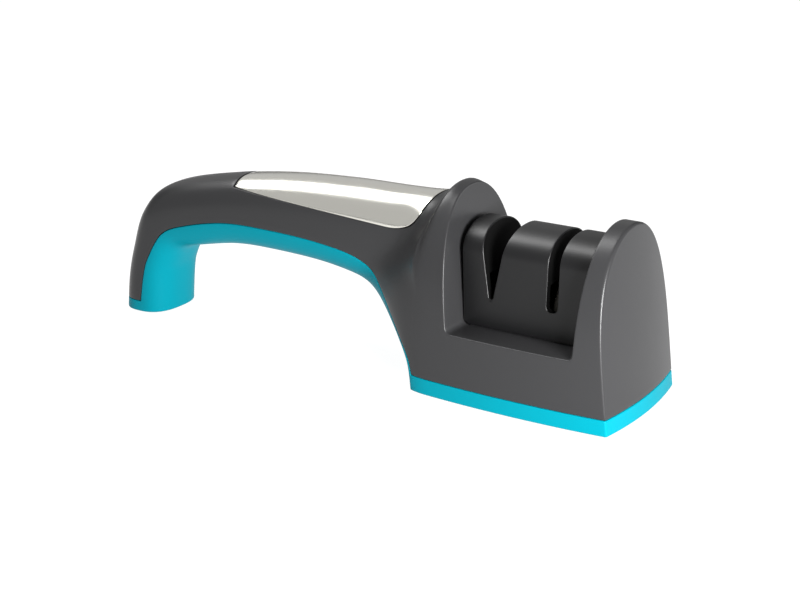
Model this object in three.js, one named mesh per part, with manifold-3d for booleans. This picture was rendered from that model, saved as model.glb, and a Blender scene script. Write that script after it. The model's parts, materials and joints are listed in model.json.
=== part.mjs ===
// A hand-held blade sharpener: a bow handle with a foot, and a head with two pull-through slots.
// Millimetres, +Z up, standing on Z = 0. X = 0 is the end of the head at its base corners and the
// handle runs towards -X; Y = 0 is the plane of symmetry. The last lines centre the length on the origin.

import * as THREE from 'three';
import { mergeVertices } from 'three/addons/utils/BufferGeometryUtils.js';
import Module from 'manifold-3d';

const wasm = await Module();
wasm.setup();

// Fits and walls
const FIT = 0.3; // gap between pieces that meet
const GLUE = 0.1; // glue line under plates and pads
const AXLE_FIT = 0.08; // all round an axle
const RUN = 0.8; // room round a turning wheel
const WALL = 2.2; // moulded shells
const FLOOR = 2.5; // bottom of the lower shell

// Grinding wheels, two to a slot on one axle
const WHEEL_RADIUS = 10;
const WHEEL_THICKNESS = 2.8;
const GROOVE_DEPTH = 3.4; // radial depth of the V between two wheels
const COARSE_BEVEL = 25; // degrees, each side of the V
const FINE_BEVEL = 18;
const WHEEL_CHAMFER = 0.5;
const AXLE_RADIUS = 1.6;
const AXLE_CHAMFER = 0.3;
const AXLE_SKEW = 8; // degrees from X, so that the rolling wheels also rub along the blade
const WASHER_RADIUS = 3.6;
const WASHER_THICKNESS = 0.5;
const BUSH_WALL = 1;
const CHEEK_THICKNESS = 2;
const CHEEK_WIDTH = 9;

// Cartridge: the slotted cover above the saddle floor, and the carrier that clamps it from below
const COVER_TOP = 54.5;
const COVER_SHOULDER = 45.5; // height where the flat front turns into the rounded top
const COVER_DRAFT = 1; // how far the front leans back up to the shoulder
const COVER_WALL = 2;
const COVER_REAR_LEAN = 0.115; // run over rise of its two ends
const COVER_END_LEAN = 0.03;
const COVER_CORNER = 2;
const COVER_TAIL = 3.2; // spare length past the fine wheels
const COVER_GAP = 0.45; // to the towers, at the saddle floor
const SKIRT_WALL = 1.4; // the part of the cover that passes down through the saddle floor
const SKIRT_END_STEP = 0.8;
const SEAT = 1.8; // width of the cover's front and back that stand on the saddle floor
const COARSE_SLOT_BELOW = 2.8; // from the bottom of the V down to the bottom of the slot
const COARSE_SLOT_HALF_FOOT = 0.8;
const COARSE_SLOT_FLARE = 0.18; // run over rise of each side
const FINE_SLOT_BELOW = 3.4;
const FINE_SLOT_WIDTH = 4.4;
const SLOT_WALL = 1.8;
const CARRIER_FLOOR = 2.2;
const CARRIER_DEPTH = 3.1;
const CARRIER_WALL = 2.2;
const POST_RADIUS = 3; // screw posts
const POST_GAP = 1;

// Head
const HEAD_HALF_WIDTH = 24.8; // at its two ends
const SIDE_BOW = 1.6;
const END_BOW = 2.3;
const END_FILLET = 2;
const END_LEAN = 0.123; // run over rise of the end face
const RIM_HEIGHT = 5.4;
const SADDLE_FLOOR = 22.5;
const SADDLE_THICKNESS = 2.3;
const SADDLE_FILLET = 2;
const REAR_TOWER = 13.4; // from the back of the base to the saddle
const REAR_TOWER_TOP = 65.2;
const REAR_TOP_FALL = 1.2; // of its rounded top, towards the saddle
const REAR_LEAN = 0.125; // run over rise of its saddle side
const END_TOWER = 12.4;
const END_TOWER_TOP = 60.1;
const END_INNER_LEAN = 0.033;
const REAR_SHOULDER = 3.2; // how high up the towers' sides turn in: the power of the height
const END_SHOULDER = 3.8;
const REAR_ROUND = 2.25; // and how round they turn: 2 is an ellipse
const END_ROUND = 2;

// Handle
const GRIP_REACH = 133.8; // from the back of the head's base to the back of the foot
const GRIP_WIDTH = 25.4;
const GRIP_FULLNESS = 2.6; // exponent of its oval section: 2 is an ellipse
const GRIP_TOP = 59.7; // top of the handle where it meets the rear tower
const GRIP_TOP_POWER = 3; // how late its top line levels out
const FINGER_HEIGHT = 30.9; // highest point of the underside
const FINGER_DROP = 3.6; // how far the underside falls from there to the bend
const FINGER_SAG = 0.45; // and halfway there
const ARCH_LENGTH = 65.9; // from that highest point to the back of the head's base
const ARCH_FULLNESS = 2.25; // exponent of that arch: 2 is an ellipse
const FOOT_LENGTH = 19.7;
const FOOT_EDGE = 0.6; // rounding under the foot
const FOOT_STRAIGHT = 12; // height of its nearly upright part
const BACK_DRAFT = 1.5; // how far the back leans in over that height
const INNER_DRAFT = 1.1;
const BACK_BEND = [[4.6, 35.5], [10, 21.1], [20.8, 11.7]]; // in from the foot's back, down from GRIP_TOP
const INNER_BEND = [[2.5, 12.6], [7, 5.8]]; // past the foot's inner side, down from FINGER_HEIGHT
const INNER_BEND_LENGTH = 15.2; // from the foot's inner side to the end of the bend
const TEAL_DEPTH = 9.3; // how far the lower shell comes up the sides of the grip
const TEAL_BEND = 7.3; // and in the bend
const TEAL_EDGE = 0.9; // and round the back edge of the head
const TEAL_FADE = 35; // length over which it thins towards the head
const GREY_END = 4; // height where the upper housing stops on the back of the foot
const FLARE_LOW = 38; // length of the sides' sweep from grip to head, low down
const FLARE_HIGH = 11; // and near the top
const FLARE_CHANGE = [20, 52]; // heights between which that length changes
const FLARE_END = 7.4; // where the sweep ends, past the back of the head's base
const TOWER_BACK = [[-4.4, 0.08], [1, 0.62], [5, 1]]; // past that back, share of the rise

// Steel plate on the handle
const PLATE_THICKNESS = 0.8;
const PLATE_LENGTH = 77.8; // along X, from the foot of the rear tower
const PLATE_SETBACK = 2.6; // from the back of the head's base to the plate's front edge at the top
const PLATE_FRONT_LOW = 48.7; // height of its lower edge near the head
const PLATE_REAR_LOW = 52.9;
const PLATE_CORNER_RUN = 10; // its rounded lower corner, along and up
const PLATE_CORNER_RISE = 6.8;
const PLATE_FRONT_LEAN = 0.4; // run over rise of its front edge
const PLATE_TAB = 6;
const PLATE_TAB_IN = 14; // from each end of the plate to the middle of its tabs

// Pads and screws
const PAD_PROUD = 0.25; // pads stand this far below the base
const PAD_THICKNESS = 1.5;
const HEAD_PAD = [40, 28];
const FOOT_PAD = [16, 18];
const PAD_CORNER = 4;
const SCREW_RADIUS = 1.25;
const SCREW_LENGTH = 9;
const SCREW_HEAD_RADIUS = 2.7;
const SCREW_HEAD_HEIGHT = 1.6;
const SCREW_DRIVE = [3.2, 0.8, 0.9]; // length, width and depth of the cross recess
const SCREW_SINK = 0.6; // head below the face it is let into
const BOSS_RISE = 1.5; // of the floor round a screw
const HEAD_POST_IN = 7; // from the side of the head to the middle of a screw
const HEAD_POST_TOP = 32;
const FOOT_POST_IN = 11; // from the back of the foot
const RIB_THICKNESS = 1.6;

// How finely curves are cut
const SKIN = { girth: 12, grip: 25 }; // steps up one side of a section, and sections along the grip
const INSIDE = { girth: 8, grip: 14 };
const CROWDING = 1.2; // above 1, sections stand closer together towards the head
const END_COLUMNS = 6;
const CURVE_STEPS = 8;
const ROUND_STEPS = 28;
const SMALL_ROUND_STEPS = 14;

// Places that follow from the sizes
const degrees = THREE.MathUtils.degToRad;
const base = PAD_PROUD;
const skew = degrees(AXLE_SKEW);
const wheelOuter = FIT / 2 + WHEEL_THICKNESS;
const washerInner = wheelOuter + FIT;
const cheekInner = washerInner + WASHER_THICKNESS + FIT;
const cheekOuter = cheekInner + CHEEK_THICKNESS;
const stageHalf = cheekOuter * Math.cos(skew) + (CHEEK_WIDTH / 2) * Math.sin(skew);
const wheelReach = WHEEL_RADIUS * Math.cos(skew) + wheelOuter * Math.sin(skew);
const bushRadius = AXLE_RADIUS + AXLE_FIT + BUSH_WALL;

const skirtHalfDepth = wheelReach + RUN + SKIRT_WALL;
const coverHalfDepth = skirtHalfDepth + SEAT;
const stageMargin = stageHalf + FIT + SKIRT_WALL + SKIRT_END_STEP;
const saddleEndX = -END_TOWER;
const coverEndX = saddleEndX - COVER_GAP;
const fineX = coverEndX - COVER_TAIL - stageMargin;
const slotSpacing = 2 * (stageHalf + POST_RADIUS + POST_GAP);
const coarseX = fineX - slotSpacing;
const coverRearX = coarseX - stageMargin;
const saddleRearX = coverRearX - COVER_GAP;
const headRearX = saddleRearX - REAR_TOWER;
const footRearX = headRearX - GRIP_REACH;
const headLength = -headRearX;

const saddleUnder = SADDLE_FLOOR - SADDLE_THICKNESS;
const carrierTop = saddleUnder - FIT;
const carrierFloorTop = carrierTop - CARRIER_DEPTH;
const carrierBottom = carrierFloorTop - CARRIER_FLOOR;
const axleHeight = carrierFloorTop + 2 * RUN + WHEEL_RADIUS;
const grooveHeight = axleHeight + WHEEL_RADIUS - GROOVE_DEPTH;
const wheelTop = axleHeight + WHEEL_RADIUS;

const plateFrontX = headRearX - PLATE_SETBACK;
const plateRearX = plateFrontX - PLATE_LENGTH;

// Larger than the object, for cutters that go right through it
const THROUGH = 3 * headLength;

// Solids: a closed three.js geometry as something that can be joined and cut, and back again

function solid(geometry) {
  const bare = new THREE.BufferGeometry();
  bare.setAttribute('position', geometry.getAttribute('position'));
  bare.setIndex(geometry.getIndex());
  const merged = mergeVertices(bare, 1e-4);
  const corners = merged.getIndex().array;
  const triVerts = [];
  for (let i = 0; i < corners.length; i += 3) {
    const [a, b, c] = corners.slice(i, i + 3);
    if (a !== b && b !== c && c !== a) triVerts.push(a, b, c);
  }
  const vertProperties = new Float32Array(merged.getAttribute('position').array);
  const mesh = new wasm.Mesh({ numProp: 3, vertProperties, triVerts: new Uint32Array(triVerts) });
  return new wasm.Manifold(mesh);
}

function geometryOf(body) {
  const mesh = body.getMesh();
  const geometry = new THREE.BufferGeometry();
  geometry.setAttribute('position', new THREE.BufferAttribute(mesh.vertProperties, 3));
  geometry.setIndex(new THREE.BufferAttribute(mesh.triVerts, 1));
  const flat = geometry.toNonIndexed();
  flat.computeVertexNormals();
  return flat;
}

const outline = (points) => new THREE.Shape(points.map(([a, b]) => new THREE.Vector2(a, b)));

function extruded(shape, depth) {
  const settings = { depth, bevelEnabled: false, curveSegments: CURVE_STEPS };
  return new THREE.ExtrudeGeometry(shape, settings).translate(0, 0, -depth / 2);
}

// A side view, drawn in X and Z, given a width in Y
function sideCut(shape, width = THROUGH) {
  const turn = new THREE.Matrix4().makeBasis(
    new THREE.Vector3(1, 0, 0),
    new THREE.Vector3(0, 0, 1),
    new THREE.Vector3(0, -1, 0),
  );
  return solid(extruded(shape, width).applyMatrix4(turn));
}

// An end view, drawn in Y and Z, given a length in X
function endCut(shape, length = THROUGH) {
  const turn = new THREE.Matrix4().makeBasis(
    new THREE.Vector3(0, 1, 0),
    new THREE.Vector3(0, 0, 1),
    new THREE.Vector3(1, 0, 0),
  );
  return solid(extruded(shape, length).applyMatrix4(turn));
}

function block(low, high) {
  const size = high.map((value, axis) => value - low[axis]);
  const middle = high.map((value, axis) => (value + low[axis]) / 2);
  return solid(new THREE.BoxGeometry(...size).translate(...middle));
}

// An upright round bar between two heights
function bar(x, y, low, high, radius) {
  const round = new THREE.CylinderGeometry(radius, radius, high - low, SMALL_ROUND_STEPS);
  return solid(round.rotateX(Math.PI / 2).translate(x, y, (low + high) / 2));
}

// A turned piece whose profile is given as distance along the axis and radius; the axis is X
function turned(profile, steps = ROUND_STEPS) {
  const points = profile.map(([along, radius]) => new THREE.Vector2(radius, along));
  return new THREE.LatheGeometry(points, steps).rotateZ(-Math.PI / 2);
}

function roundedRectangle(length, width, corner) {
  const shape = new THREE.Shape();
  const a = length / 2 - corner;
  const b = width / 2 - corner;
  shape.absarc(a, b, corner, 0, Math.PI / 2);
  shape.absarc(-a, b, corner, Math.PI / 2, Math.PI);
  shape.absarc(-a, -b, corner, Math.PI, 1.5 * Math.PI);
  shape.absarc(a, -b, corner, 1.5 * Math.PI, 2 * Math.PI);
  return shape;
}

// Body form: cross-sections that run from the sole of the foot, along the grip and through the head

const smooth = THREE.MathUtils.smootherstep;
const lerp = THREE.MathUtils.lerp;
const footInnerX = footRearX + FOOT_LENGTH;
const bendEndX = footInnerX + INNER_BEND_LENGTH;
const fingerX = headRearX - ARCH_LENGTH;
const ARCH_ANGLES = [0, 15, 30, 45, 60, 75, 90].map(degrees);
const CREST_SHARES = [0.2, 0.4, 0.6, 0.75, 0.86]; // places along the top, from the bend to the head

// The grip is drawn between two lines, each a list of points from the sole to the head
function underPoints() {
  const points = [[footInnerX, base], [footInnerX + INNER_DRAFT, base + FOOT_STRAIGHT]];
  for (const [along, down] of INNER_BEND) points.push([footInnerX + along, FINGER_HEIGHT - down]);
  points.push([bendEndX, FINGER_HEIGHT - FINGER_DROP]);
  points.push([(bendEndX + fingerX) / 2, FINGER_HEIGHT - FINGER_SAG]);
  for (const angle of ARCH_ANGLES) {
    const along = ARCH_LENGTH * Math.sin(angle) ** (2 / ARCH_FULLNESS);
    const rise = (FINGER_HEIGHT - base) * Math.max(0, Math.cos(angle)) ** (2 / ARCH_FULLNESS);
    points.push([fingerX + along, base + rise]);
  }
  return points;
}

function topPoints() {
  const points = [[footRearX, base], [footRearX + BACK_DRAFT, base + FOOT_STRAIGHT]];
  for (const [along, down] of BACK_BEND) points.push([footRearX + along, GRIP_TOP - down]);
  const [bendLength, bendDrop] = BACK_BEND.at(-1);
  for (const share of CREST_SHARES) {
    const x = lerp(footRearX + bendLength, headRearX, share);
    points.push([x, GRIP_TOP - bendDrop * (1 - share) ** GRIP_TOP_POWER]);
  }
  for (const [along, share] of TOWER_BACK) {
    points.push([headRearX + along, lerp(GRIP_TOP, REAR_TOWER_TOP, share)]);
  }
  return points;
}

// A smooth line through points, moved sideways by a distance that may change along it
function rail(points, aside) {
  const line = new THREE.SplineCurve(points.map(([x, z]) => new THREE.Vector2(x, z)));
  const last = points.length - 1;
  const moved = points.map(([x, z], i) => {
    const along = line.getTangent(i / last);
    const normal = new THREE.Vector2(-along.y, along.x);
    return line.getPoint(i / last).addScaledVector(normal, aside(x, z));
  });
  return new THREE.SplineCurve(moved);
}

// 0 on the grip, 1 on the head: how far a point has swept out from one to the other
function flare(x, z) {
  const length = lerp(FLARE_LOW, FLARE_HIGH, smooth(z, ...FLARE_CHANGE));
  return smooth(x, headRearX - length, headRearX + FLARE_END);
}

// Half the width of the body, at a share of the way up its section
function halfWidth(x, z, share, top, inset) {
  const across = Math.abs(2 * share - 1) ** GRIP_FULLNESS;
  const grip = (GRIP_WIDTH / 2 - inset) * (1 - across) ** (1 / GRIP_FULLNESS);
  const toEnd = THREE.MathUtils.clamp(1 + x / headLength, 0, 1);
  const widest = HEAD_HALF_WIDTH + SIDE_BOW * (1 - (2 * toEnd - 1) ** 2) - inset;
  const shoulder = lerp(REAR_SHOULDER, END_SHOULDER, toEnd);
  const round = lerp(REAR_ROUND, END_ROUND, toEnd);
  const head = widest * Math.max(0, 1 - (z / top) ** shoulder) ** (1 / round);
  return lerp(grip, head, flare(x, z));
}

const bowAt = (y) => END_BOW * (1 - (y / HEAD_HALF_WIDTH) ** 2);

// Where the sections stand. Each runs from an under point to a top point; bow tells how far it takes on
// the rounding of the end face, and shrink how far a rounded end has drawn it in.
function sections(inset, floor, steps) {
  const under = rail(underPoints(), () => inset);
  const top = rail(topPoints(), () => -inset);
  const list = [];
  if (inset === 0) {
    for (const angle of [0, 30, 60].map(degrees)) {
      const shrink = FOOT_EDGE * (1 - Math.sin(angle));
      const lift = base + FOOT_EDGE * (1 - Math.cos(angle));
      const low = new THREE.Vector2(under.getPoint(0).x - shrink, lift);
      const high = new THREE.Vector2(top.getPoint(0).x + shrink, lift);
      list.push({ under: low, top: high, bow: 0, shrink });
    }
  }
  for (let i = 0; i <= steps.grip; i += 1) {
    const along = 1 - (1 - i / steps.grip) ** CROWDING;
    const low = under.getPoint(along);
    const high = top.getPoint(along);
    if (i === 0) high.y = inset === 0 ? base + FOOT_EDGE : floor;
    low.y = i === 0 ? high.y : Math.max(low.y, floor);
    list.push({ under: low, top: high, bow: 0, shrink: 0 });
  }
  // The head: straight lines at the back, each side of the saddle, and the end
  const line = (atFloor, lean, height) => ({
    under: new THREE.Vector2(atFloor - lean * SADDLE_FLOOR, floor),
    top: new THREE.Vector2(atFloor + lean * (height - SADDLE_FLOOR), height - inset),
  });
  const endX = -inset - (inset === 0 ? END_FILLET : 0);
  const end = line(endX - END_LEAN * SADDLE_FLOOR, -END_LEAN, END_TOWER_TOP);
  const lines = [
    [line(saddleRearX, -REAR_LEAN, REAR_TOWER_TOP - REAR_TOP_FALL), 0, 3],
    [line(saddleEndX, END_INNER_LEAN, END_TOWER_TOP), 0, 4],
    [end, 1, 2],
  ];
  for (const [to, bow, count] of lines) {
    const from = list.at(-1);
    for (let i = 1; i <= count; i += 1) {
      list.push({
        under: from.under.clone().lerp(to.under, i / count),
        top: from.top.clone().lerp(to.top, i / count),
        bow: (bow * i) / count,
        shrink: 0,
      });
    }
  }
  if (inset === 0) {
    for (const angle of [30, 60, 90].map(degrees)) {
      const shrink = END_FILLET * (1 - Math.cos(angle));
      const forward = new THREE.Vector2(END_FILLET * Math.sin(angle), 0);
      const low = end.under.clone().add(forward);
      const high = end.top.clone().add(forward);
      high.y -= shrink;
      list.push({ under: low, top: high, bow: 1, shrink });
    }
  }
  return list;
}

const LEAST_HALF = 0.6; // half the width left on the crest of a rounded section

// The whole body, drawn in by inset all round
function bodyForm(inset, floor = base, steps = SKIN) {
  const list = sections(inset, floor, steps);
  const position = [];
  const index = [];
  const ring = 2 * (steps.girth + 1);
  const rowPoint = (section, step) => {
    const share = (1 - Math.cos((Math.PI * step) / steps.girth)) / 2;
    const point = section.under.clone().lerp(section.top, share);
    const half = halfWidth(point.x, point.y, share, section.top.y, inset) - section.shrink;
    return { x: point.x, z: point.y, half: Math.max(half, LEAST_HALF) };
  };
  for (const section of list) {
    for (let k = 0; k < ring; k += 1) {
      const front = k <= steps.girth;
      const { x, z, half } = rowPoint(section, front ? k : ring - 1 - k);
      position.push(x + section.bow * bowAt(half), front ? -half : half, z);
    }
  }
  for (let i = 0; i + 1 < list.length; i += 1) {
    for (let k = 0; k < ring; k += 1) {
      const a = i * ring + k;
      const b = i * ring + ((k + 1) % ring);
      index.push(a, a + ring, b, b, a + ring, b + ring);
    }
  }
  // The sole, and the bowed end face in columns
  for (let k = 0; k < steps.girth; k += 1) {
    const [a, b] = [k, k + 1];
    const [c, d] = [ring - 2 - k, ring - 1 - k];
    index.push(a, b, c, a, c, d);
  }
  const lastRing = (list.length - 1) * ring;
  const rows = [];
  for (let k = 0; k <= steps.girth; k += 1) {
    const row = [lastRing + k];
    const { x, z, half } = rowPoint(list.at(-1), k);
    for (let column = 1; column < END_COLUMNS; column += 1) {
      const y = half * ((2 * column) / END_COLUMNS - 1);
      row.push(position.length / 3);
      position.push(x + bowAt(y), y, z);
    }
    row.push(lastRing + ring - 1 - k);
    rows.push(row);
  }
  for (let k = 0; k < steps.girth; k += 1) {
    for (let column = 0; column < END_COLUMNS; column += 1) {
      const [a, b] = [rows[k][column], rows[k][column + 1]];
      const [d, c] = [rows[k + 1][column], rows[k + 1][column + 1]];
      index.push(a, b, c, a, c, d);
    }
  }
  // Level slivers between the bowed end and the straight edges of the bottom and the crest
  const [bottom, crest] = [rows[0], rows[steps.girth]];
  for (let column = 1; column < END_COLUMNS; column += 1) {
    index.push(bottom[0], bottom[column + 1], bottom[column]);
    index.push(crest[0], crest[column], crest[column + 1]);
  }
  const geometry = new THREE.BufferGeometry();
  geometry.setAttribute('position', new THREE.Float32BufferAttribute(position, 3));
  geometry.setIndex(index);
  return solid(geometry);
}

// Side view of everything below the line where the two shells meet
function belowParting(gap) {
  const inBend = (x, z) =>
    smooth(z, base, 2 * FOOT_STRAIGHT) * (1 - smooth(x, footInnerX, bendEndX + INNER_BEND_LENGTH / 2));
  const depth = (x, z) => {
    const onGrip = lerp(TEAL_DEPTH, TEAL_BEND, inBend(x, z));
    return lerp(onGrip, TEAL_EDGE, smooth(x, headRearX - TEAL_FADE, headRearX)) + gap;
  };
  const points = underPoints();
  const greyEnd = GREY_END + gap;
  const rim = RIM_HEIGHT + gap;
  const line = rail(points, depth).getPoints(4 * points.length);
  const keep = line.filter((p) => p.y > (p.x < fingerX ? greyEnd : rim));
  return outline([
    [footRearX - END_BOW, greyEnd],
    [keep[0].x, greyEnd],
    ...keep.map((p) => [p.x, p.y]),
    [keep.at(-1).x, rim],
    [2 * END_BOW, rim],
    [2 * END_BOW, -END_BOW],
    [footRearX - END_BOW, -END_BOW],
  ]);
}

// Side view of the saddle between the towers, grown by a wall
function saddleShape(grown) {
  const low = SADDLE_FLOOR - grown * (SADDLE_THICKNESS / WALL);
  const high = REAR_TOWER_TOP + END_FILLET;
  const rearAt = (z) => saddleRearX - grown - REAR_LEAN * (z - SADDLE_FLOOR);
  const endAt = (z) => saddleEndX + grown + END_INNER_LEAN * (z - SADDLE_FLOOR);
  const shape = new THREE.Shape();
  shape.moveTo(rearAt(high), high);
  shape.lineTo(rearAt(low + SADDLE_FILLET), low + SADDLE_FILLET);
  shape.quadraticCurveTo(rearAt(low), low, rearAt(low) + SADDLE_FILLET, low);
  shape.lineTo(endAt(low) - SADDLE_FILLET, low);
  shape.quadraticCurveTo(endAt(low), low, endAt(low + SADDLE_FILLET), low + SADDLE_FILLET);
  shape.lineTo(endAt(high), high);
  return shape;
}

// Side view of the steel plate, grown by a gap; its lower edge drops towards the head
function plateShape(gap) {
  const high = REAR_TOWER_TOP + END_FILLET;
  const frontLow = PLATE_FRONT_LOW - gap;
  const rearLow = PLATE_REAR_LOW - gap;
  const rear = plateRearX - gap;
  const front = plateFrontX + gap;
  const leanAt = (z) => front - PLATE_FRONT_LEAN * (GRIP_TOP - z);
  const cornerX = leanAt(frontLow);
  const slope = (rearLow - frontLow) / (cornerX - rear);
  const cornerTop = frontLow + PLATE_CORNER_RISE;
  const shape = new THREE.Shape();
  shape.moveTo(rear, high);
  shape.lineTo(rear, rearLow);
  shape.lineTo(cornerX - PLATE_CORNER_RUN, frontLow + slope * PLATE_CORNER_RUN);
  shape.quadraticCurveTo(cornerX, frontLow, leanAt(cornerTop), cornerTop);
  shape.lineTo(front, GRIP_TOP);
  shape.lineTo(front, high);
  return shape;
}

const plateLowAt = (x) => {
  const share = (x - plateRearX) / PLATE_LENGTH;
  return lerp(PLATE_REAR_LOW, PLATE_FRONT_LOW, share);
};

// Level slabs in which the plate's folded tabs lie
function tabSlabs(gap) {
  return [plateRearX + PLATE_TAB_IN, plateFrontX - 2 * PLATE_TAB_IN].map((x) => {
    const low = plateLowAt(x) + PLATE_THICKNESS;
    return block(
      [x - PLATE_TAB / 2 - gap, -GRIP_WIDTH, low - gap],
      [x + PLATE_TAB / 2 + gap, GRIP_WIDTH, low + PLATE_THICKNESS + gap],
    );
  });
}

const body = bodyForm(0);
const hollow = bodyForm(WALL, base + FLOOR, INSIDE);
const midWall = bodyForm(WALL / 2, base, INSIDE);

// Screws, driven upwards
const screwSeat = base + SCREW_SINK + SCREW_HEAD_HEIGHT;
const bossTop = base + FLOOR + BOSS_RISE;
const rearPostX = (headRearX + saddleRearX) / 2;
const endPostX = saddleEndX / 2;
const headPostY = HEAD_HALF_WIDTH - HEAD_POST_IN;
const headPosts = [rearPostX, endPostX].flatMap((x) => [-headPostY, headPostY].map((y) => [x, y]));
const footPost = [footRearX + FOOT_POST_IN, 0];
const footSeat = base + PAD_THICKNESS + SCREW_HEAD_HEIGHT;
const cartridgePostX = (coarseX + fineX) / 2;
const cartridgePostY = skirtHalfDepth - SKIRT_WALL - POST_RADIUS;

const screwHole = SCREW_RADIUS + FIT;
const pilot = (x, y, from) => bar(x, y, from - POST_RADIUS, from + SCREW_LENGTH + 2 * FIT, screwHole);

function screwGeometry() {
  const shank = turned([
    [-SCREW_HEAD_HEIGHT, 0],
    [-SCREW_HEAD_HEIGHT, SCREW_HEAD_RADIUS - FIT],
    [-SCREW_HEAD_HEIGHT + FIT, SCREW_HEAD_RADIUS],
    [0, SCREW_HEAD_RADIUS],
    [0, SCREW_RADIUS],
    [SCREW_LENGTH - SCREW_RADIUS, SCREW_RADIUS],
    [SCREW_LENGTH, 0],
  ], SMALL_ROUND_STEPS).rotateY(-Math.PI / 2);
  const [length, width, depth] = SCREW_DRIVE;
  const low = -SCREW_HEAD_HEIGHT - depth;
  const high = -SCREW_HEAD_HEIGHT + depth;
  const cross = block([-length / 2, -width / 2, low], [length / 2, width / 2, high])
    .add(block([-width / 2, -length / 2, low], [width / 2, length / 2, high]));
  return geometryOf(solid(shank).subtract(cross));
}

// Pieces

const sharpener = new THREE.Group();

const finish = (color, roughness, metalness = 0) => () =>
  new THREE.MeshStandardMaterial({ color, roughness, metalness });
const anthracite = finish('#4a4a4b', 0.5);
const teal = finish('#00b4c8', 0.45);
const black = finish('#242426', 0.4);
const steel = finish('#c9c7c2', 0.3, 1);
const brass = finish('#b08d4c', 0.35, 1);
const rubber = finish('#1b1b1c', 0.85);
const coarseGrit = finish('#3d3c3a', 0.9);
const fineGrit = finish('#4b4a47', 0.8);

function place(name, geometry, material, parent = sharpener) {
  const mesh = new THREE.Mesh(geometry, material());
  mesh.name = name;
  parent.add(mesh);
  return mesh;
}

function upperHousing() {
  const opening = block(
    [coverRearX + SKIRT_END_STEP - FIT, -skirtHalfDepth - FIT, saddleUnder - SADDLE_THICKNESS],
    [coverEndX - SKIRT_END_STEP + FIT, skirtHalfDepth + FIT, SADDLE_FLOOR + SADDLE_THICKNESS],
  );
  const inside = hollow.subtract(sideCut(saddleShape(WALL)));
  let shell = body.subtract(sideCut(saddleShape(0))).subtract(inside).subtract(opening);
  const postLow = bossTop + FIT;
  for (const [x, y] of headPosts) {
    const post = bar(x, y, postLow, HEAD_POST_TOP, POST_RADIUS).intersect(body);
    const web = block(
      [x - RIB_THICKNESS / 2, Math.min(y, Math.sign(y) * HEAD_HALF_WIDTH), RIM_HEIGHT + WALL],
      [x + RIB_THICKNESS / 2, Math.max(y, Math.sign(y) * HEAD_HALF_WIDTH), HEAD_POST_TOP],
    ).intersect(midWall);
    shell = shell.add(post).add(web).subtract(pilot(x, y, screwSeat));
  }
  const [footX, footY] = footPost;
  const footLow = footSeat + BOSS_RISE + FIT;
  const post = bar(footX, footY, footLow, GRIP_TOP, POST_RADIUS);
  const web = block(
    [footRearX, footY - RIB_THICKNESS / 2, footLow + WALL],
    [footX, footY + RIB_THICKNESS / 2, GRIP_TOP],
  );
  shell = shell.add(post.add(web).intersect(midWall)).subtract(pilot(footX, footY, footSeat));
  shell = shell.subtract(sideCut(belowParting(FIT)));
  const recess = sideCut(plateShape(FIT)).subtract(bodyForm(PLATE_THICKNESS + GLUE));
  shell = shell.subtract(recess);
  for (const slab of tabSlabs(FIT)) shell = shell.subtract(slab);
  return geometryOf(shell);
}

function lowerShell() {
  let shell = body.intersect(sideCut(belowParting(0))).subtract(hollow);
  const counterbore = SCREW_HEAD_RADIUS + FIT;
  for (const [x, y] of headPosts) {
    shell = shell.add(bar(x, y, base, bossTop, POST_RADIUS + WALL / 2).intersect(body));
    shell = shell.subtract(bar(x, y, -base, screwSeat + FIT, counterbore));
    shell = shell.subtract(bar(x, y, -base, bossTop + base, screwHole));
  }
  const [footX, footY] = footPost;
  shell = shell.add(bar(footX, footY, base + FIT, footSeat + BOSS_RISE, POST_RADIUS + WALL / 2));
  shell = shell.subtract(bar(footX, footY, -base, footSeat + FIT, counterbore));
  shell = shell.subtract(bar(footX, footY, -base, footSeat + BOSS_RISE + base, screwHole));
  for (const [shape, x] of pads) {
    const room = PAD_THICKNESS + GLUE;
    shell = shell.subtract(solid(extruded(shape(FIT), 2 * room).translate(x, 0, 0)));
  }
  return geometryOf(shell);
}

const headPadShape = (grown) =>
  roundedRectangle(HEAD_PAD[0] + 2 * grown, HEAD_PAD[1] + 2 * grown, PAD_CORNER + grown);
const footPadShape = (grown) =>
  new THREE.Shape().absellipse(0, 0, FOOT_PAD[0] / 2 + grown, FOOT_PAD[1] / 2 + grown, 0, 2 * Math.PI);
const pads = [
  [headPadShape, headRearX / 2, 'head_pad'],
  [footPadShape, footRearX + FOOT_LENGTH / 2, 'foot_pad'],
];

function handlePlate() {
  const under = bodyForm(PLATE_THICKNESS);
  let plate = body.subtract(under).intersect(sideCut(plateShape(0)));
  const tabEnds = bodyForm(WALL + PLATE_THICKNESS, base, INSIDE);
  const tabRoom = bodyForm(PLATE_THICKNESS / 2).subtract(tabEnds);
  for (const slab of tabSlabs(0)) plate = plate.add(slab.intersect(tabRoom));
  return geometryOf(plate);
}

// End view of the cartridge cover, drawn in by inset
function coverProfile(inset, low) {
  const half = coverHalfDepth - inset;
  const shoulder = half - COVER_DRAFT;
  const shape = new THREE.Shape();
  shape.moveTo(half, low);
  shape.lineTo(shoulder, COVER_SHOULDER);
  shape.absellipse(0, COVER_SHOULDER, shoulder, COVER_TOP - inset - COVER_SHOULDER, 0, Math.PI);
  shape.lineTo(-half, low);
  return shape;
}

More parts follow.
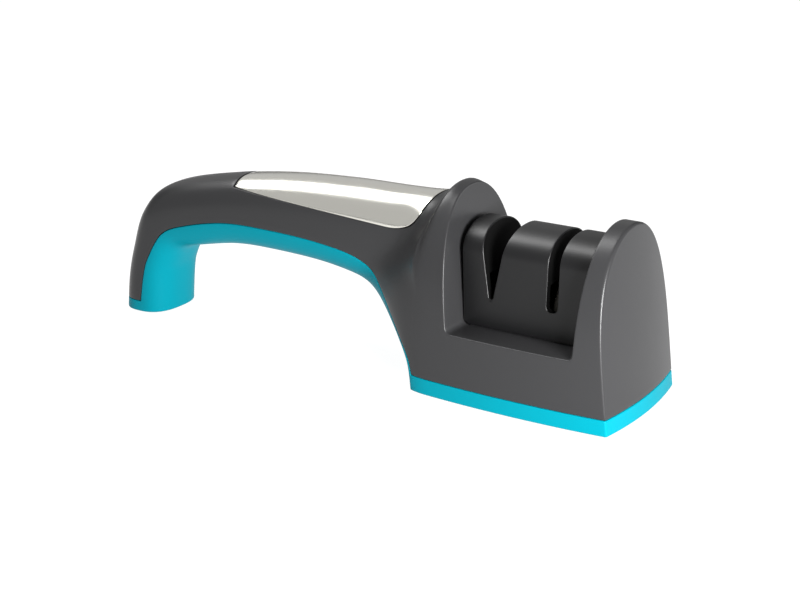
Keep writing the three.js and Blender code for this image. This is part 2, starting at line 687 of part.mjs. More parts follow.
// Side view of the cover between its leaning ends, drawn in by inset
function coverSide(inset, low) {
  const high = COVER_TOP + COVER_WALL;
  const rise = high - SADDLE_FLOOR;
  const rear = coverRearX + inset;
  const end = coverEndX - inset;
  const corner = COVER_CORNER - Math.min(inset, COVER_CORNER / 2);
  const shape = new THREE.Shape();
  shape.moveTo(rear + corner, low);
  shape.lineTo(end - corner, low);
  shape.quadraticCurveTo(end, low, end + COVER_END_LEAN * corner, low + corner);
  shape.lineTo(end + COVER_END_LEAN * rise, high);
  shape.lineTo(rear - COVER_REAR_LEAN * rise, high);
  shape.lineTo(rear - COVER_REAR_LEAN * corner, low + corner);
  shape.quadraticCurveTo(rear, low, rear + corner, low);
  return shape;
}

// Side views of the two slots, grown by a wall
function coarseSlot(grown) {
  const low = grooveHeight - COARSE_SLOT_BELOW;
  const high = COVER_TOP + COVER_WALL;
  const foot = COARSE_SLOT_HALF_FOOT + grown;
  const mouth = foot + COARSE_SLOT_FLARE * (high - low);
  const shape = new THREE.Shape();
  shape.moveTo(coarseX - mouth, high);
  shape.lineTo(coarseX - foot, low + COARSE_SLOT_HALF_FOOT);
  shape.absarc(coarseX, low + COARSE_SLOT_HALF_FOOT, foot, Math.PI, 2 * Math.PI);
  shape.lineTo(coarseX + mouth, high);
  return shape;
}

function fineSlot(grown) {
  const half = FINE_SLOT_WIDTH / 2 + grown;
  const low = grooveHeight - FINE_SLOT_BELOW + FINE_SLOT_WIDTH / 2;
  const high = COVER_TOP + COVER_WALL;
  const shape = new THREE.Shape();
  shape.moveTo(fineX - half, high);
  shape.lineTo(fineX - half, low);
  shape.absarc(fineX, low, half, Math.PI, 2 * Math.PI);
  shape.lineTo(fineX + half, high);
  return shape;
}

const cartridgePosts = [-cartridgePostY, cartridgePostY];

function cartridgeCover() {
  const low = SADDLE_FLOOR + FIT;
  const skirtLow = carrierFloorTop + FIT;
  const skirt = block(
    [coverRearX + SKIRT_END_STEP, -skirtHalfDepth, skirtLow],
    [coverEndX - SKIRT_END_STEP, skirtHalfDepth, low + COVER_WALL],
  );
  const outer = endCut(coverProfile(0, low)).intersect(sideCut(coverSide(0, low)));
  const skirtInside = block(
    [coverRearX + SKIRT_END_STEP + SKIRT_WALL, SKIRT_WALL - skirtHalfDepth, -THROUGH],
    [coverEndX - SKIRT_END_STEP - SKIRT_WALL, skirtHalfDepth - SKIRT_WALL, low + 2 * COVER_WALL],
  );
  const roomLow = low + COVER_WALL;
  const room = endCut(coverProfile(COVER_WALL, roomLow)).intersect(sideCut(coverSide(COVER_WALL, roomLow)));
  let inside = room.add(skirtInside);
  const guides = block([-THROUGH, -THROUGH, wheelTop + RUN], [THROUGH, THROUGH, THROUGH])
    .intersect(sideCut(coarseSlot(SLOT_WALL)).add(sideCut(fineSlot(SLOT_WALL))));
  inside = inside.subtract(guides);
  let cover = outer.add(skirt).subtract(inside);
  for (const y of cartridgePosts) {
    const post = bar(cartridgePostX, y, carrierFloorTop + FIT, COVER_TOP, POST_RADIUS);
    cover = cover.add(post.intersect(outer.add(skirt)));
  }
  for (const y of cartridgePosts) cover = cover.subtract(pilot(cartridgePostX, y, carrierBottom));
  cover = cover.subtract(sideCut(coarseSlot(0))).subtract(sideCut(fineSlot(0)));
  return geometryOf(cover);
}

// What belongs to one slot is drawn about its axle and turned by the skew
function atStage(bodyAtAxle, x) {
  const turn = new THREE.Matrix4().makeRotationZ(skew).setPosition(x, 0, axleHeight);
  return solid(geometryOf(bodyAtAxle).applyMatrix4(turn));
}

function wheelCarrier() {
  const inner = [coverRearX + SKIRT_END_STEP - FIT, coverEndX - SKIRT_END_STEP + FIT];
  const innerHalf = skirtHalfDepth + FIT;
  let carrier = block(
    [inner[0] - CARRIER_WALL, -innerHalf - CARRIER_WALL, carrierBottom],
    [inner[1] + CARRIER_WALL, innerHalf + CARRIER_WALL, carrierTop],
  ).subtract(block([inner[0], -innerHalf, carrierFloorTop], [inner[1], innerHalf, THROUGH]));
  const cheekTop = bushRadius + FIT + CHEEK_THICKNESS;
  for (const x of [coarseX, fineX]) {
    for (const side of [-1, 1]) {
      const [near, far] = side < 0 ? [-cheekOuter, -cheekInner] : [cheekInner, cheekOuter];
      const cheek = block(
        [near, -CHEEK_WIDTH / 2, carrierFloorTop - CARRIER_FLOOR / 2 - axleHeight],
        [far, CHEEK_WIDTH / 2, cheekTop],
      );
      const seat = solid(turned([
        [-THROUGH, 0],
        [-THROUGH, bushRadius + FIT],
        [THROUGH, bushRadius + FIT],
        [THROUGH, 0],
      ]));
      carrier = carrier.add(atStage(cheek.subtract(seat), x));
    }
  }
  for (const y of cartridgePosts) {
    const hole = bar(cartridgePostX, y, carrierBottom - FIT, carrierFloorTop + FIT, screwHole);
    carrier = carrier.subtract(hole);
  }
  return geometryOf(carrier);
}

function ringGeometry(from, to, inner, outer) {
  return turned([[from, inner], [from, outer], [to, outer], [to, inner], [from, inner]], SMALL_ROUND_STEPS);
}

// One wheel; its bevelled face looks towards the middle of the slot, on the +X side
function wheelGeometry(bevel) {
  const bore = AXLE_RADIUS + AXLE_FIT;
  const near = FIT / 2;
  const rim = near + GROOVE_DEPTH * Math.tan(degrees(bevel));
  return turned([
    [near, bore],
    [near, WHEEL_RADIUS - GROOVE_DEPTH],
    [rim, WHEEL_RADIUS],
    [wheelOuter - WHEEL_CHAMFER, WHEEL_RADIUS],
    [wheelOuter, WHEEL_RADIUS - WHEEL_CHAMFER],
    [wheelOuter, bore],
    [near, bore],
  ]);
}

function addStage(stage, x, bevel, grit) {
  const group = new THREE.Group();
  group.position.set(x, 0, axleHeight);
  group.rotation.z = skew;
  sharpener.add(group);
  const axle = turned([
    [-cheekOuter, 0],
    [-cheekOuter, AXLE_RADIUS - AXLE_CHAMFER],
    [AXLE_CHAMFER - cheekOuter, AXLE_RADIUS],
    [cheekOuter - AXLE_CHAMFER, AXLE_RADIUS],
    [cheekOuter, AXLE_RADIUS - AXLE_CHAMFER],
    [cheekOuter, 0],
  ], SMALL_ROUND_STEPS);
  place(`${stage}_axle`, geometryOf(solid(axle)), steel, group);
  const bore = AXLE_RADIUS + AXLE_FIT;
  const washer = ringGeometry(washerInner, washerInner + WASHER_THICKNESS, bore, WASHER_RADIUS);
  const bush = ringGeometry(cheekInner, cheekOuter, bore, bushRadius);
  for (const [side, turn] of [['end', 0], ['rear', Math.PI]]) {
    for (const [kind, geometry, material] of [
      ['wheel', wheelGeometry(bevel), grit],
      ['washer', washer, steel],
      ['bush', bush, brass],
    ]) {
      const piece = place(`${stage}_${kind}_${side}`, geometryOf(solid(geometry)), material, group);
      piece.rotation.z = turn;
    }
  }
}

place('upper_housing', upperHousing(), anthracite);
place('lower_shell', lowerShell(), teal);
place('handle_plate', handlePlate(), steel);
place('cartridge_cover', cartridgeCover(), black);
place('wheel_carrier', wheelCarrier(), black);
addStage('coarse', coarseX, COARSE_BEVEL, coarseGrit);
addStage('fine', fineX, FINE_BEVEL, fineGrit);

headPosts.forEach(([x, y], i) => {
  place(`head_screw_${i + 1}`, screwGeometry(), steel).position.set(x, y, screwSeat);
});
place('foot_screw', screwGeometry(), steel).position.set(...footPost, footSeat);
cartridgePosts.forEach((y, i) => {
  const name = `cartridge_screw_${['front', 'back'][i]}`;
  place(name, screwGeometry(), steel).position.set(cartridgePostX, y, carrierBottom - FIT);
});
for (const [shape, x, name] of pads) {
  const pad = extruded(shape(0), PAD_THICKNESS);
  place(name, geometryOf(solid(pad)), rubber).position.set(x, 0, PAD_THICKNESS / 2);
}

// Centre the length on the origin
sharpener.position.x = -(footRearX + END_BOW) / 2;
const part = new THREE.Group();
part.add(sharpener);

export default part;
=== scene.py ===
"""A hand-held blade sharpener: bow handle with a steel plate, and a head with a slotted cartridge."""

import json
import math

import bmesh
import bpy
import numpy as np
from mathutils import Matrix, Vector


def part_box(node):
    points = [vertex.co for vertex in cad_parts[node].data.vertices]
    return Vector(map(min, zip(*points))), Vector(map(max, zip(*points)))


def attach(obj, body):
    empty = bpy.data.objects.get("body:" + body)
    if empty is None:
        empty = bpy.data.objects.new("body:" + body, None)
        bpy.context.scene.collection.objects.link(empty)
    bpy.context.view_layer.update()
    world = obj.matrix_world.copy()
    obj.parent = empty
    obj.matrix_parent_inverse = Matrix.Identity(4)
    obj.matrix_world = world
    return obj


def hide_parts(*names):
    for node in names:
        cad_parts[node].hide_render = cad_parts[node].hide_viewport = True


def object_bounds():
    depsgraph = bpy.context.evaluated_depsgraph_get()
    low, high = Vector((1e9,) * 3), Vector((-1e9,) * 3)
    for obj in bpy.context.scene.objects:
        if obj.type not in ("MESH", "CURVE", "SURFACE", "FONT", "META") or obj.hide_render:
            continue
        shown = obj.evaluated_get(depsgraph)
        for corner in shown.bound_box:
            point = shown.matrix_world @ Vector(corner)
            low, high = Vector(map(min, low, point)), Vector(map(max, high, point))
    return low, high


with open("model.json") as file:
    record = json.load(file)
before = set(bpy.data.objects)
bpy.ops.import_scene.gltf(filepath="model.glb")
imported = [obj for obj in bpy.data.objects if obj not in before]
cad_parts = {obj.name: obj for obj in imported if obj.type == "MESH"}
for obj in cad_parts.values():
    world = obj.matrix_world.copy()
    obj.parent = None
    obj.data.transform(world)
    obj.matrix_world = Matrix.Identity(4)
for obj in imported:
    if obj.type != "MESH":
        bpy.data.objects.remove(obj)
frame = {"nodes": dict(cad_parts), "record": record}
cad_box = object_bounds()

# Sizes in millimetres. The body is drawn in side view, x along the handle and z up: x = 0 is the end of the
# head at its base, and the handle runs towards -x. Moulding.build moves each piece on to the frame.
PAD_PROUD = 0.25  # the base stands this far above the floor, on its pads
SEAM = 0.22  # open line between two mouldings
SEAM_EDGE = 0.3  # rounding of each edge along a seam
SEAM_DEPTH = 1.6  # how far a moulding's edge turns in

# The head
HEAD_LENGTH = 69.37  # of its base
HEAD_HALF_WIDTH = 24.8  # at both ends
SIDE_BOW = 1.6  # how far its sides bow out between the ends
END_BOW = 2.3  # how far its end face bows out
END_SIDE_ROUND = 0.7  # rounding round the end face, up its sides
END_CREST_ROUND = 1.2  # and over its top
END_LEAN = 0.123  # run over rise
RIM_HEIGHT = 5.4  # of the teal rim's upper edge
RIM_EDGE = 0.4  # rounding under the rim and along the arch
SADDLE_FLOOR = 22.5
SADDLE_FILLET = 2.0
SADDLE_EDGE = 0.5  # rounding where the saddle cuts the outside
REAR_TOWER = 13.4  # length at the saddle's floor
REAR_TOWER_TOP = 65.2
REAR_TOP_FALL = 0.7  # of its rounded top, towards the saddle
REAR_LEAN = 0.125
END_TOWER = 12.4
END_TOWER_TOP = 59.8
END_INNER_LEAN = 0.033
REAR_SHOULDER = 3.2  # how high up the towers' sides turn in: the power of the height
END_SHOULDER = 3.8
REAR_ROUND = 2.25  # and how round they turn: 2 is an ellipse
END_ROUND = 2.0

# The grip and the foot
GRIP_REACH = 133.8  # from the head to the back of the foot
GRIP_WIDTH = 25.4
GRIP_FULLNESS = 2.6  # 2 would make its section an ellipse
GRIP_TOP = 59.7
GRIP_TOP_POWER = 3  # how late the top falls towards the bend
FINGER_HEIGHT = 30.9  # highest place of the under side
FINGER_DROP = 3.6  # from there to the end of the bend
FINGER_SAG = 0.45  # and half way
ARCH_LENGTH = 65.9
ARCH_FULLNESS = 2.25
ARCH_ANGLES = range(0, 91, 15)  # degrees
FOOT_LENGTH = 19.7
FOOT_EDGE = 0.6  # rounding under the foot
FOOT_STRAIGHT = 12
BACK_DRAFT = 1.5
INNER_DRAFT = 1.1
BACK_BEND = ((4.6, 35.5), (10, 21.1), (20.8, 11.7))  # in from the foot's back, down from GRIP_TOP
INNER_BEND = ((2.5, 12.6), (7, 5.8))  # past the foot's inner side, down from FINGER_HEIGHT
INNER_BEND_LENGTH = 15.2
CREST_SHARES = (0.22, 0.44, 0.66, 0.84)  # places along the top, from the bend to the head
TOWER_BACK = ((-6, 0.09), (1.6, 0.27), (3.6, 0.86), (5.2, 1))  # past the back of the base, share of the rise
TEAL_DEPTH = 9.3  # of the teal shell along the grip
TEAL_BEND = 7.3  # in the bend
TEAL_EDGE = 0.9  # and at the head, where it has thinned
TEAL_FADE = 35.0  # over this length
GREY_END = 4.0  # height at which the grey ends behind the foot
FLARE_LOW = 38.0  # length over which the sides sweep out to the head, low down
FLARE_HIGH = 11.0  # and near the top
FLARE_CHANGE = (20.0, 52.0)  # heights between which that changes
FLARE_END = 7.4  # how far past the back of the base the sweep ends
FLARE_HIGH_END = 4.2  # near the top it ends sooner, in a crease
CREASE_LEAN = 0.3  # run over rise of the crease
FLARE_POWER = 1.6

# The steel plate
PLATE_LENGTH = 77.8
PLATE_SETBACK = 2.6  # from the back of the head's base
PLATE_FRONT_LOW = 48.7  # height of its lower edge
PLATE_REAR_LOW = 52.9
PLATE_CORNER_RUN = 10.0
PLATE_CORNER_RISE = 6.8
PLATE_FRONT_LEAN = 0.4
PLATE_EDGE = 0.15
PLATE_REAR_GAP = 0.6  # open line behind the plate, besides the seam
PLATE_FRONT_GAP = 0.4
PLATE_THICKNESS = 0.8
BESIDE = 0.3  # how far from an edge the surface is looked at for its direction

# The cartridge cover
COVER_TOP = 54.5
COVER_SHOULDER = 45.5  # height at which the crown starts
COVER_DRAFT = 1.0
COVER_WALL = 2.0
COVER_REAR_LEAN = 0.055
COVER_END_LEAN = 0.03
COVER_CORNER = 2.0  # rounding of its lower corners
COVER_GAP = 0.45  # to the end tower
COVER_REAR_GAP = 0.1
COVER_LIFT = 0.3  # above the saddle's floor
COVER_EDGE = 0.6
COVER_FULLNESS = 2.15  # 2 would make the crown an ellipse
SLOT_EDGE = 0.35
COARSE_SLOT_LOW = 32.2
COARSE_SLOT_HALF_FOOT = 0.8
COARSE_SLOT_FLARE = 0.18
FINE_SLOT_LOW = 31.6
FINE_SLOT_HALF = 1.9
WHEEL_ROOM = 0.8  # above the wheels
SCREW_WELL = 3.0  # radius of the well round each screw in the head's sole
WELL_DEPTH = 3.0

base = PAD_PROUD
head_rear = -HEAD_LENGTH
foot_rear = head_rear - GRIP_REACH
foot_inner = foot_rear + FOOT_LENGTH
bend_end = foot_inner + INNER_BEND_LENGTH
finger_x = head_rear - ARCH_LENGTH
saddle_rear = head_rear + REAR_TOWER
saddle_end = -END_TOWER
plate_front = head_rear - PLATE_SETBACK
plate_rear = plate_front - PLATE_LENGTH
to_frame = 1000 * cad_box[1][0] - END_BOW  # from the side view's x to the frame's

# Rows, columns and steps of the meshes
LOW_ROWS, HIGH_ROWS = 14, 26  # up to the saddle's floor, and above it
CROWN_ROWS = 18  # up to the crest, over the plate and behind it
ACROSS = 24  # columns from the near side to the far side
BACK_COLUMNS, TOWER_COLUMNS, END_COLUMNS = 75, 45, 12  # of the grey shell
FOOT_COLUMNS, ARCH_COLUMNS = 6, 150  # of the teal shell
RIM_COLUMNS = (12, 30, 10)
PLATE_SIDE_STEPS, PLATE_CORNER_STEPS, PLATE_FRONT_STEPS = 48, 16, 30
SADDLE_STEPS, FILLET_STEPS = 30, 8
END_STEPS = 8  # round the edge of the end face
CUT_STEPS = 5
EDGE_STEPS = 4
LIP_STEPS = 3
WELL_SIDES = 32
COVER_CORNER_ROWS, COVER_FLAT_ROWS, COVER_CROWN_ROWS = 9, 26, 19
COVER_COLUMNS = (12, 20, 12)  # behind the coarse slot, between the slots, and past the fine slot
FINE_STEPS = 160  # up a section, when it is measured
SCAN_STEPS = 6000  # along the body, when a section is looked for
PARTING_POINTS = 400

TINY = 1e-9  # keeps a division from failing
SLACK = 1e-6  # room for rounding errors in a comparison
SLIGHT = 1e-3  # a small step, or a small weight
OVERSHOOT = 0.2  # how far past its ends a section is looked at, as a share of it


# Curves and sections

def smooth(value, low, high):
    """0 below low, 1 above high, with no corner at either."""
    t = np.clip((np.asarray(value, float) - low) / (high - low), 0, 1)
    return t ** 3 * (t * (6 * t - 15) + 10)


def mix(a, b, t):
    return a + (b - a) * t


def spline(points, at):
    """A smooth line through points, at places counted in points from the first."""
    points = np.asarray(points, float)
    last = len(points) - 1
    i = np.clip(np.floor(at).astype(int), 0, last - 1)
    w = (at - i)[:, None]
    before, start, end, after = (points[np.clip(i + k, 0, last)] for k in (-1, 0, 1, 2))
    leave, arrive = (end - before) / 2, (after - start) / 2
    cubic = 2 * start - 2 * end + leave + arrive
    square = -3 * start + 3 * end - 2 * leave - arrive
    return cubic * w ** 3 + square * w ** 2 + leave * w + start


def bezier(a, b, c, steps):
    """A curve from a to c that heads for b, in steps."""
    t = np.linspace(0, 1, steps + 1).reshape(-1, *[1] * np.ndim(a))
    return (1 - t) ** 2 * np.asarray(a) + 2 * t * (1 - t) * np.asarray(b) + t ** 2 * np.asarray(c)


def unit(vectors):
    return vectors / np.maximum(np.linalg.norm(vectors, axis=-1, keepdims=True), TINY)


def cross(a, b):
    return a[..., 0] * b[..., 1] - a[..., 1] * b[..., 0]


def under_points():
    """The under line: up the foot's inner side, along the finger side of the grip and down the arch."""
    points = [(foot_inner, base), (foot_inner + INNER_DRAFT, base + FOOT_STRAIGHT)]
    points += [(foot_inner + along, FINGER_HEIGHT - down) for along, down in INNER_BEND]
    points.append((bend_end, FINGER_HEIGHT - FINGER_DROP))
    points.append(((bend_end + finger_x) / 2, FINGER_HEIGHT - FINGER_SAG))
    for angle in np.radians(ARCH_ANGLES):
        along = ARCH_LENGTH * math.sin(angle) ** (2 / ARCH_FULLNESS)
        rise = (FINGER_HEIGHT - base) * max(0, math.cos(angle)) ** (2 / ARCH_FULLNESS)
        points.append((finger_x + along, base + rise))
    return points


def top_points():
    """The top line, with as many points: up the foot's back, along the grip and up the rear tower."""
    points = [(foot_rear, base), (foot_rear + BACK_DRAFT, base + FOOT_STRAIGHT)]
    points += [(foot_rear + along, GRIP_TOP - down) for along, down in BACK_BEND]
    bend_length, bend_drop = BACK_BEND[-1]
    for share in CREST_SHARES:
        x = mix(foot_rear + bend_length, head_rear, share)
        points.append((x, GRIP_TOP - bend_drop * (1 - share) ** GRIP_TOP_POWER))
    points += [(head_rear + along, mix(GRIP_TOP, REAR_TOWER_TOP, share)) for along, share in TOWER_BACK]
    return points


def face_line(at_floor, lean, height):
    """A straight section of the head: its under point and its top point."""
    under = (at_floor - lean * (SADDLE_FLOOR - base), base)
    top = (at_floor + lean * (height - SADDLE_FLOOR), height)
    return under, top


# Sections are counted from the sole of the foot (0) to the back of the head's base, then the rear face of the
# saddle, the end face of the saddle, and the end of the head.
BACK = len(under_points()) - 1
REAR_FACE, END_FACE, END = BACK + 1, BACK + 2, BACK + 3
SCAN = np.linspace(0, END, SCAN_STEPS + 1)
rear_face = face_line(saddle_rear - SADDLE_EDGE, -REAR_LEAN, REAR_TOWER_TOP - REAR_TOP_FALL)
end_face = face_line(saddle_end + SADDLE_EDGE, END_INNER_LEAN, END_TOWER_TOP)
end_line = face_line(-END_LEAN * SADDLE_FLOOR, -END_LEAN, END_TOWER_TOP)


def under_line(at):
    """Where sections meet the under side."""
    straight = np.array([under_points()[-1], rear_face[0], end_face[0], end_line[0]])
    i = np.clip(np.floor(at).astype(int) - BACK, 0, 2)
    head = mix(straight[i], straight[i + 1], (at - BACK - i)[:, None])
    return np.where((at <= BACK)[:, None], spline(under_points(), np.minimum(at, BACK)), head)


def top_line(at):
    """Where sections meet the top."""
    grip = spline(top_points() + [rear_face[1]], np.minimum(at, REAR_FACE))
    straight = np.array([rear_face[1], end_face[1], end_line[1]])
    i = np.clip(np.floor(at).astype(int) - REAR_FACE, 0, 1)
    head = mix(straight[i], straight[i + 1], (at - REAR_FACE - i)[:, None])
    return np.where((at <= REAR_FACE)[:, None], grip, head)


def flare(x, z):
    """0 on the grip, 1 on the head: how far the sides have swept out."""
    high = smooth(z, *FLARE_CHANGE)
    length = mix(FLARE_LOW, FLARE_HIGH, high)
    past = mix(FLARE_END, FLARE_HIGH_END + CREASE_LEAN * (z - REAR_TOWER_TOP), high)
    t = np.clip((x - head_rear + length) / (length + past), 0, 1)
    return mix(smooth(t, 0, 1), t ** FLARE_POWER, high)


def half_width(x, z, share, top):
    """Half the body's width at places of the side view, a share of the way up sections with a top height."""
    across = np.abs(2 * share - 1) ** GRIP_FULLNESS
    grip = GRIP_WIDTH / 2 * np.maximum(0, 1 - across) ** (1 / GRIP_FULLNESS)
    to_end = np.clip(1 + x / HEAD_LENGTH, 0, 1)
    widest = HEAD_HALF_WIDTH + SIDE_BOW * (1 - (2 * to_end - 1) ** 2)
    shoulder, turn = mix(REAR_SHOULDER, END_SHOULDER, to_end), mix(REAR_ROUND, END_ROUND, to_end)
    head = widest * np.maximum(0, 1 - (z / top) ** shoulder) ** (1 / turn)
    return mix(grip, head, flare(x, z))


def bow_at(y):
    """How far the end face bows out at a distance from its middle."""
    return END_BOW * (1 - (y / HEAD_HALF_WIDTH) ** 2)


def end_rounding(z):
    """Rounding round the end face at a height."""
    return mix(END_SIDE_ROUND, END_CREST_ROUND, smooth(z, SADDLE_FLOOR, END_TOWER_TOP))


def skin(at, share):
    """Points of the body's near side, at sections and at shares of the way up them."""
    at, share = np.broadcast_arrays(np.asarray(at, float), np.asarray(share, float))
    low, high = under_line(at.ravel()), top_line(at.ravel())
    x, z = mix(low, high, share.ravel()[:, None]).T
    half = half_width(x, z, share.ravel(), high[:, 1])
    bow = np.clip(at.ravel() - END_FACE, 0, 1)
    points = np.stack([x + bow * (bow_at(half) - end_rounding(z)), -half, z], axis=1)
    return points.reshape(*at.shape, 3)


def climb(at, start, end, count):
    """Rows of points up each section between two shares, evenly spaced: an array of [section][row]."""
    at = np.asarray(at, float)
    start, end = np.broadcast_to(start, at.shape), np.broadcast_to(end, at.shape)
    ease = 1 - (1 - np.linspace(0, 1, FINE_STEPS + 1)) ** GRIP_FULLNESS
    shares = start[:, None] + (end - start)[:, None] * ease
    points = skin(at[:, None], shares)
    steps = np.linalg.norm(np.diff(points, axis=1), axis=2)
    length = np.concatenate([np.zeros((len(at), 1)), np.cumsum(steps, axis=1)], axis=1)
    wanted = np.linspace(0, 1, count + 1)
    even = [np.interp(wanted * whole[-1], whole, row) for whole, row in zip(length, shares)]
    return skin(at[:, None], np.array(even))


def crossing(at, line):
    """The share of the way up each section where it crosses a line of the side view."""
    line = np.asarray(line, float)
    run = np.diff(line, axis=0)
    shares = []
    for low, high in zip(under_line(at), top_line(at)):
        spread = cross(high - low, run)
        spread = np.where(np.abs(spread) < TINY, TINY, spread)
        share = cross(line[:-1] - low, run) / spread
        along = cross(line[:-1] - low, high - low) / spread
        shares.append(share[(along >= -SLACK) & (along <= 1 + SLACK) & (share > -SLACK)].min())
    return np.array(shares)


def share_up(points, low, high):
    """How far up sections, from their low to their high ends, points of the side view lie."""
    return ((points - low) * (high - low)).sum(axis=1) / ((high - low) ** 2).sum(axis=1)


def section_through(points):
    """The sections that pass through points of the side view, and how far up them the points lie."""
    low, high = under_line(SCAN), top_line(SCAN)
    found = []
    for point in np.asarray(points, float):
        side = cross(high - low, point - low)
        share = share_up(point, low, high)[:-1]
        change = (side[:-1] * side[1:] <= 0) & (share > -OVERSHOOT) & (share < 1 + OVERSHOOT)
        i = np.flatnonzero(change)[-1]
        found.append(SCAN[i] + (SCAN[1] - SCAN[0]) * side[i] / (side[i] - side[i + 1]))
    at = np.array(found)
    return at, share_up(points, under_line(at), top_line(at))


def at_height(height):
    """The section that meets the foot's back at a height."""
    low = SCAN[SCAN < 1]
    return np.interp(height, top_line(low)[:, 1], low)


def parting_line(gap):
    """Side view of the line where the two shells meet, moved up by a gap."""
    points = np.array(under_points())
    places = np.arange(len(points), dtype=float)
    ahead = spline(points, places + SLIGHT) - spline(points, places - SLIGHT)
    normal = unit(np.stack([-ahead[:, 1], ahead[:, 0]], axis=1))
    x, z = points.T
    past_bend = smooth(x, foot_inner, bend_end + INNER_BEND_LENGTH / 2)
    in_bend = smooth(z, base, 2 * FOOT_STRAIGHT) * (1 - past_bend)
    depth = mix(TEAL_DEPTH, TEAL_BEND, in_bend)
    depth = mix(depth, TEAL_EDGE, smooth(x, head_rear - TEAL_FADE, head_rear)) + gap
    line = spline(points + normal * depth[:, None], np.linspace(0, BACK, PARTING_POINTS))
    rim = RIM_HEIGHT + gap
    line = line[(line[:, 0] < finger_x) | (line[:, 1] > rim)]
    past_end = 2 * END_BOW
    return np.vstack([line, [line[-1, 0], rim], [past_end, rim]])


def split(at, gap):
    """How far up each section the parting line is."""
    return crossing(at, parting_line(gap))


# Meshes

MERGE = 0.004  # points this close become one
SHARP = math.radians(50)


def mirrored(rows):
    return np.asarray(rows) * (1, -1, 1)


class Moulding:
    """Collects grids of points and joins them into one mesh."""

    def __init__(self):
        self.points, self.faces, self.count = [], [], 0

    def grid(self, rows):
        """Faces between neighbouring points of rows."""
        rows = np.asarray(rows, float)
        down, across = rows.shape[:2]
        index = self.count + np.arange(down * across).reshape(down, across)
        corners = (index[:-1, :-1], index[1:, :-1], index[1:, 1:], index[:-1, 1:])
        self.faces += np.stack([c.ravel() for c in corners], axis=1).tolist()
        self.points.append(rows.reshape(-1, 3))
        self.count += down * across

    def both_sides(self, rows):
        self.grid(rows)
        self.grid(mirrored(rows))

    def fill(self, loops):
        """A flat face between an outline and the holes in it."""
        bm = bmesh.new()
        for loop in loops:
            corners = [bm.verts.new(p) for p in loop]
            for a, b in zip(corners, corners[1:] + corners[:1]):
                bm.edges.new((a, b))
        bmesh.ops.triangle_fill(bm, use_beauty=True, edges=bm.edges[:])
        bm.verts.index_update()
        self.points.append(np.array([v.co for v in bm.verts]))
        self.faces += [[self.count + v.index for v in f.verts] for f in bm.faces]
        self.count += len(bm.verts)
        bm.free()

    def build(self, name, material):
        """The piece in the frame, in metres, with its faces turned outwards."""
        points = np.vstack(self.points)
        points = (points + (to_frame, 0, 0)) / 1000
        mesh = bpy.data.meshes.new(name)
        mesh.from_pydata(points.tolist(), [], self.faces)
        bm = bmesh.new()
        bm.from_mesh(mesh)
        bmesh.ops.remove_doubles(bm, verts=bm.verts[:], dist=MERGE / 1000)
        bmesh.ops.dissolve_degenerate(bm, edges=bm.edges[:], dist=MERGE / 1000)
        bmesh.ops.recalc_face_normals(bm, faces=bm.faces[:])
        top = max(bm.faces, key=lambda f: f.calc_center_median().z)
        if top.normal.z < 0:
            bmesh.ops.reverse_faces(bm, faces=bm.faces[:])
        bm.to_mesh(mesh)
        bm.free()
        mesh.shade_smooth()
        mesh.set_sharp_from_angle(angle=SHARP)
        piece = bpy.data.objects.new(name, mesh)
        bpy.context.scene.collection.objects.link(piece)
        mesh.materials.append(material)
        return piece


def rounded(edge, before, radius, steps, closed=False):
    """Rows that carry a surface round an edge and inwards.

    edge is the last row of the surface and before the row next to it. The rows run from edge to a row one
    radius inwards; the inward directions come with them."""
    edge, before = np.asarray(edge, float), np.asarray(before, float)
    if closed:
        along = np.roll(edge, -1, axis=0) - np.roll(edge, 1, axis=0)
    else:
        along = np.gradient(edge, axis=0)
    along = unit(along)
    onward = edge - before
    onward = unit(onward - (onward * along).sum(axis=1, keepdims=True) * along)
    inward = np.cross(along, onward)
    # Outwards is away from the middle plane, and up where that doesn't tell.
    outward = edge * (0, 1, 0) + (0, 0, SLIGHT)
    wrong = (inward * outward).sum(axis=1).mean() > 0
    inward = -inward if wrong else inward
    corner = edge + radius * onward
    return bezier(edge, corner, corner + radius * inward, steps), inward


def turned_in(edge, before, radius, depth):
    """A rounded edge whose surface then goes straight in."""
    rows, inward = rounded(edge, before, radius, LIP_STEPS)
    return np.concatenate([rows, [rows[-1] + depth * inward]])


def lip(edge, before):
    """The edge of a moulding along a seam."""
    return turned_in(edge, before, SEAM_EDGE, SEAM_DEPTH)


def right_across(near):
    """Straight rows from the near side to its mirror image."""
    t = np.linspace(0, 1, ACROSS + 1)[None, :, None]
    return mix(near[:, None], mirrored(near)[:, None], t)


def cut_edge(near, before, radius):
    """Rows round the near edge of a cut that goes right through. near runs from crest to crest."""
    loop = np.vstack([near, mirrored(near)[-2:0:-1]])
    beside = np.vstack([before, mirrored(before)[-2:0:-1]])
    rows, _ = rounded(loop, beside, radius, CUT_STEPS, closed=True)
    return rows[:, :len(near)]


def over_crest(near):
    """A row that climbs the near side, passes the crest and comes down the far side."""
    return np.vstack([near, mirrored(near)[-2::-1]])


# Materials

IOR_ABS = 1.53
GLOSS_PATCH = 18  # this and the next are sizes of patterns, in millimetres
SCRATCH_LENGTH, SCRATCH_SPACING, SCRATCH_DEPTH = 25, 0.25, 0.01
LATHE_MARK = 0.6
GRAIN_RELIEF = 0.15  # how far a grain of grit stands out, as a share of its size


def linear(hex_colour):
    """A linear colour from an sRGB hex value."""
    values = [int(hex_colour[i:i + 2], 16) / 255 for i in (1, 3, 5)]
    return [v / 12.92 if v <= 0.04045 else ((v + 0.055) / 1.055) ** 2.4 for v in values] + [1]


def socket(word):
    """The name of a node's input, from a plain word."""
    return word.replace("_", " ").title().replace("Ior", "IOR")


